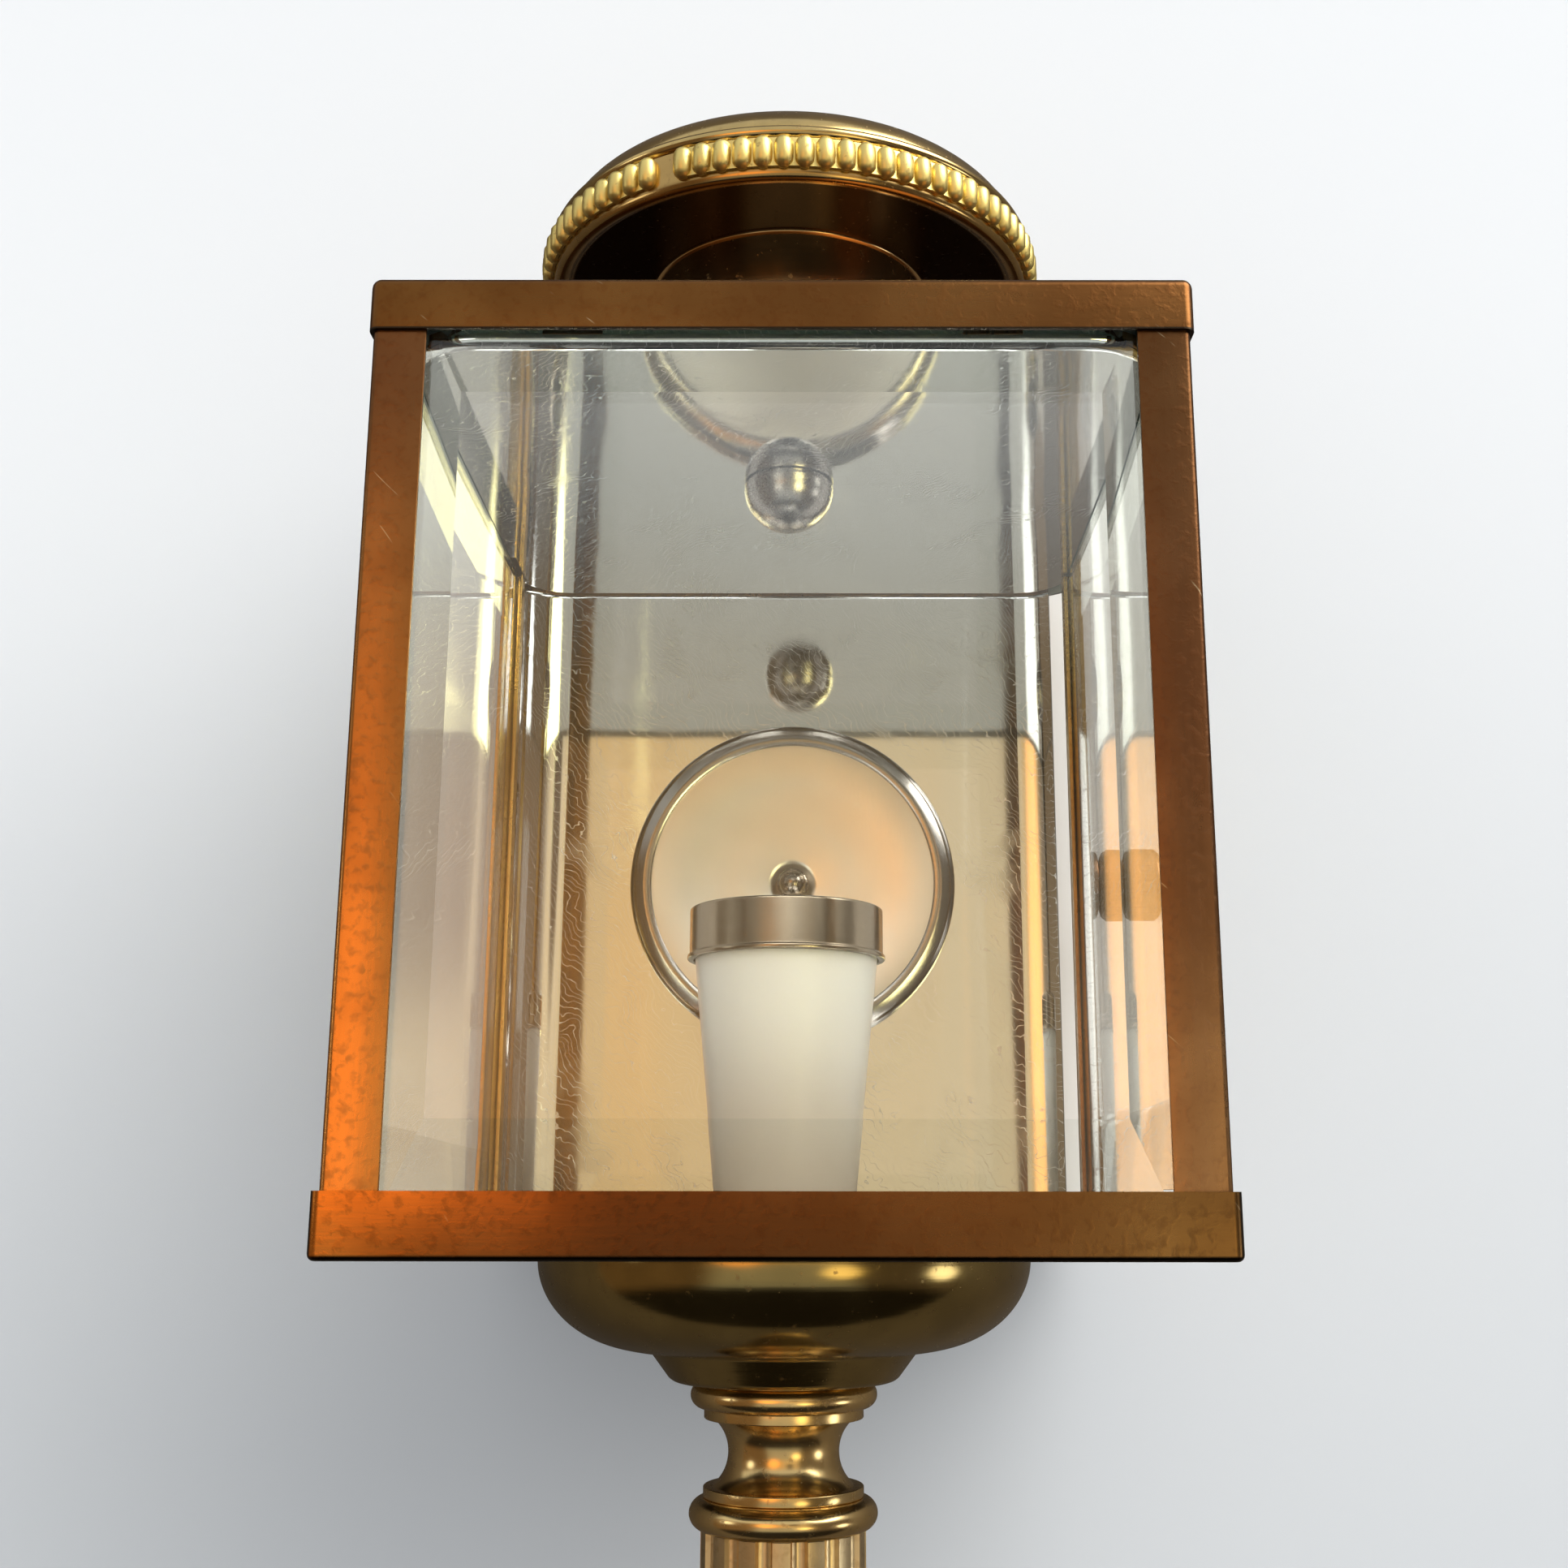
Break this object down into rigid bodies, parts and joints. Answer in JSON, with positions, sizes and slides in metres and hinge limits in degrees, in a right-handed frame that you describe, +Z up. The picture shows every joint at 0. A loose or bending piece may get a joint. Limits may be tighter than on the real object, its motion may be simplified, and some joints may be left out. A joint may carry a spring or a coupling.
{
  "type": "lantern wall lamp",
  "caption": "Brass wall lantern with a bevelled glass box, a hinged side door, a beaded chimney cap, a round reflector, a bulb holder, and a bowl with a fluted column and finial below.",
  "frame": {"origin": "on the wall plane, midway between the two wall screws, at the stud that carries the lamp", "axes": "+Z up along the lamp's long axis, +Y into the wall, +X to the right as seen from the room"},
  "size_m": [0.1742, 0.1668, 0.4793],
  "materials": {
    "brass": "aged, polished and lacquered",
    "mirror_aluminium": "bright rolled",
    "bright_nickel": "satin nickel",
    "clear_glass": "polished, bevelled edges",
    "cream_plastic": "satin",
    "dark_insulator": "moulded",
    "zinc_steel": "zinc plated",
    "spring_steel": "bright rolled",
    "black_rubber": "moulded"
  },
  "bodies": {
    "lamp": {"floor_tray": "brass", "roof_tray": "brass", "front_left_upright": "brass", "front_right_upright": "brass", "rear_left_post": "brass", "back_cover": "brass", "hinge_bottom_block": "brass", "hinge_top_block": "brass", "chimney_flange": "brass", "chimney_neck": "brass", "chimney_pan": "brass", "bead_gallery": "brass", "chimney_lid": "brass", "lid_finial": "brass", "bowl": "brass", "turned_stem": "brass", "column_ring": "brass", "fluted_column": "brass", "column_foot": "brass", "bottom_finial": "brass", "lampholder_shell": "brass", "glass_rests": "brass", "glass_clips": "brass", "back_liner": "mirror_aluminium", "ceiling_plate": "mirror_aluminium", "floor_plate": "mirror_aluminium", "round_reflector": "mirror_aluminium", "dome_nut": "bright_nickel", "reflector_nut": "bright_nickel", "lampholder_ring": "bright_nickel", "front_glass": "clear_glass", "left_glass": "clear_glass", "lampholder_sleeve": "cream_plastic", "lampholder_insert": "dark_insulator", "lampholder_base": "dark_insulator", "terminal_block": "dark_insulator", "centre_tube": "zinc_steel", "floor_nut": "zinc_steel", "bowl_nut": "zinc_steel", "chimney_rod": "zinc_steel", "rod_spacer": "zinc_steel", "hinge_bottom_pin": "zinc_steel", "hinge_top_pin": "zinc_steel", "wall_stud": "zinc_steel", "wall_bracket": "zinc_steel", "door_catch": "spring_steel", "centre_contact": "spring_steel", "wall_pads": "black_rubber", "cable_grommet": "black_rubber"},
    "door": {"door_front_stile": "brass", "door_rear_stile": "brass", "door_glass": "clear_glass", "door_knob": "brass", "knob_rivet": "brass"}
  },
  "joints": [
    {"name": "door_swing", "type": "hinge", "parent": "lamp", "child": "door", "pos_m": [0.0768, -0.1567, 0], "axis": [0, 0, -1], "range_deg": [0, 95]}
  ]
}
